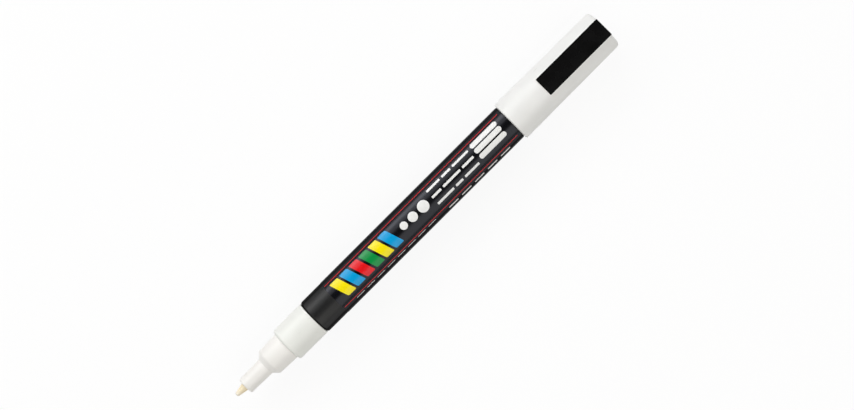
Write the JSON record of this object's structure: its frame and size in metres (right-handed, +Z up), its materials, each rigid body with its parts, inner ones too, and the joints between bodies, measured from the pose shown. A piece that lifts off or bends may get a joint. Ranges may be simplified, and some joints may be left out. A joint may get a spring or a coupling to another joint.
{
  "type": "paint marker",
  "caption": "Slim valve-fed paint marker lying on its side: cream bullet nib in a white stepped nozzle, dark printed barrel, white cap with a black bar posted on the tail.",
  "frame": {"origin": "under the middle of the marker's length, on the surface that the cap's lowest line touches", "axes": "+X along the marker's axis from nib to cap, +Z up through the cap's flat bar"},
  "size_m": [0.1486, 0.0132, 0.0135],
  "materials": {
    "nib_fibre": "bonded fibre, porous and matt",
    "nozzle_white": "moulded, satin",
    "neck_white": "moulded, satin",
    "seat_rubber": "smooth rubber",
    "valve_plastic": "natural moulded plastic",
    "spring_steel": "drawn stainless wire",
    "barrel_black": "moulded, semi-gloss",
    "label_print": "printed film, glossy",
    "ball_steel": "polished steel",
    "tail_white": "moulded, satin",
    "cap_white": "moulded, satin",
    "inner_cap_natural": "natural moulded plastic",
    "panel_black": "stamped foil, satin"
  },
  "bodies": {
    "marker": {"barrel": "barrel_black", "label_film": "label_print", "neck": "neck_white", "nozzle": "nozzle_white", "valve_seat": "seat_rubber", "valve_cage": "valve_plastic", "valve_spring": "spring_steel", "tail_plug": "tail_white"},
    "cap": {"cap_shell": "cap_white", "inner_cap": "inner_cap_natural", "cap_panel": "panel_black"},
    "nib": {"nib": "nib_fibre"},
    "valve": {"valve_stem": "valve_plastic"},
    "ball": {"mixing_ball": "ball_steel"}
  },
  "joints": [
    {"name": "cap_pull", "type": "slide", "parent": "marker", "child": "cap", "axis": [1, 0, 0], "range_m": [0, 0.03]},
    {"name": "nib_press", "type": "slide", "parent": "marker", "child": "nib", "axis": [1, 0, 0], "range_m": [0, 0.0012], "stiffness_N_per_m": 800, "springref_m": -0.0015},
    {"name": "valve_lift", "type": "slide", "parent": "marker", "child": "valve", "axis": [1, 0, 0], "range_m": [0, 0.0012], "deforming": ["valve_spring"]},
    {"name": "ball_roll", "type": "slide", "parent": "marker", "child": "ball", "axis": [1, 0, 0], "range_m": [0, 0.0568]}
  ],
  "couplings": [
    {"joint": "valve_lift", "follows": "nib_press", "ratio": 1}
  ]
}
